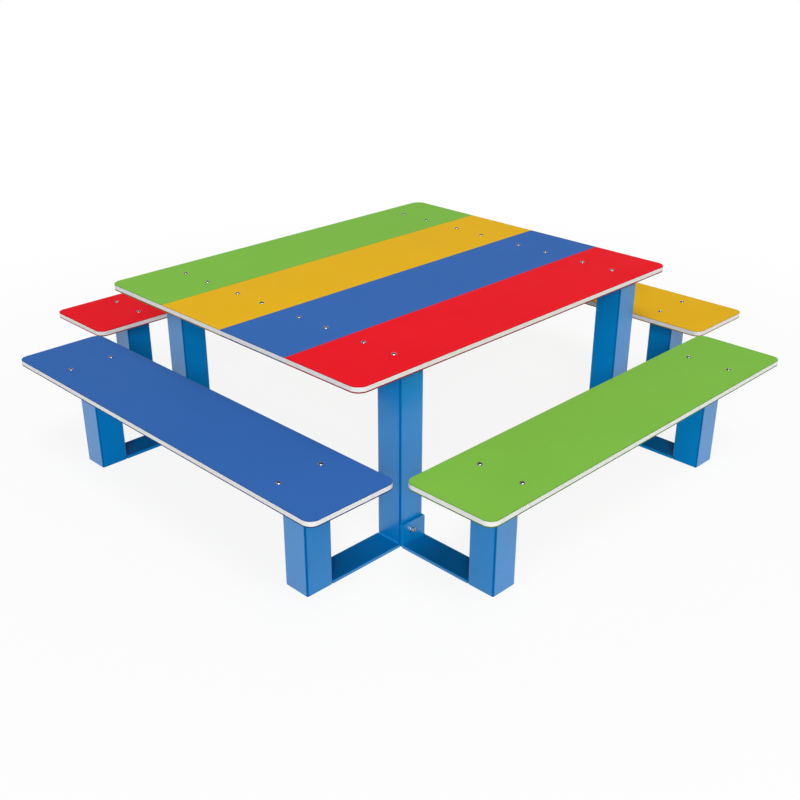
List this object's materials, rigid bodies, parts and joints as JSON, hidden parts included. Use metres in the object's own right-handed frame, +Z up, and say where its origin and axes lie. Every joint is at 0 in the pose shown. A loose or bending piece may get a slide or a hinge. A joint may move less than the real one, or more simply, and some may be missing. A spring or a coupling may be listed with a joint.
{
  "type": "picnic table with benches",
  "caption": "Fixed square school-yard table with a bench on each side, coloured plastic boards on a painted steel post frame tied along the ground.",
  "frame": {"origin": "on the ground, in the middle of the four table posts, which is also the middle of the footprint", "axes": "+Z up, +X along the top boards towards the yellow seat, +Y towards the red seat"},
  "size_m": [2.1, 2.1, 0.5875],
  "materials": {
    "green_sheet": "fine-textured three-layer plastic sheet, green caps on a white core",
    "yellow_sheet": "fine-textured three-layer plastic sheet, yellow caps on a white core",
    "blue_sheet": "fine-textured three-layer plastic sheet, blue caps on a white core",
    "red_sheet": "fine-textured three-layer plastic sheet, red caps on a white core",
    "frame_paint": "gloss blue powder coat on steel",
    "stainless": "plain stainless steel"
  },
  "bodies": {
    "root": {"top_board_green": "green_sheet", "top_board_yellow": "yellow_sheet", "top_board_blue": "blue_sheet", "top_board_red": "red_sheet", "seat_board_green": "green_sheet", "seat_board_yellow": "yellow_sheet", "seat_board_red": "red_sheet", "seat_board_blue": "blue_sheet", "table_post_blue_green": "frame_paint", "table_post_blue_red": "frame_paint", "bearer_blue": "frame_paint", "stretcher_blue": "frame_paint", "top_screws_blue": "stainless", "table_post_yellow_green": "frame_paint", "table_post_yellow_red": "frame_paint", "bearer_yellow": "frame_paint", "stretcher_yellow": "frame_paint", "top_screws_yellow": "stainless", "seat_post_green_blue": "frame_paint", "seat_bracket_green_blue": "frame_paint", "seat_screws_green_blue": "stainless", "tie_plate_green_blue": "frame_paint", "tie_bolt_green_blue": "stainless", "tie_washer_green_blue": "stainless", "seat_post_green_yellow": "frame_paint", "seat_bracket_green_yellow": "frame_paint", "seat_screws_green_yellow": "stainless", "tie_plate_green_yellow": "frame_paint", "tie_bolt_green_yellow": "stainless", "tie_washer_green_yellow": "stainless", "seat_post_yellow_green": "frame_paint", "seat_bracket_yellow_green": "frame_paint", "seat_screws_yellow_green": "stainless", "ground_plate_yellow_green": "frame_paint", "seat_post_yellow_red": "frame_paint", "seat_bracket_yellow_red": "frame_paint", "seat_screws_yellow_red": "stainless", "ground_plate_yellow_red": "frame_paint", "seat_post_red_yellow": "frame_paint", "seat_bracket_red_yellow": "frame_paint", "seat_screws_red_yellow": "stainless", "tie_plate_red_yellow": "frame_paint", "tie_bolt_red_yellow": "stainless", "tie_washer_red_yellow": "stainless", "seat_post_red_blue": "frame_paint", "seat_bracket_red_blue": "frame_paint", "seat_screws_red_blue": "stainless", "tie_plate_red_blue": "frame_paint", "tie_bolt_red_blue": "stainless", "tie_washer_red_blue": "stainless", "seat_post_blue_red": "frame_paint", "seat_bracket_blue_red": "frame_paint", "seat_screws_blue_red": "stainless", "ground_plate_blue_red": "frame_paint", "seat_post_blue_green": "frame_paint", "seat_bracket_blue_green": "frame_paint", "seat_screws_blue_green": "stainless", "ground_plate_blue_green": "frame_paint"}
  },
  "joints": []
}
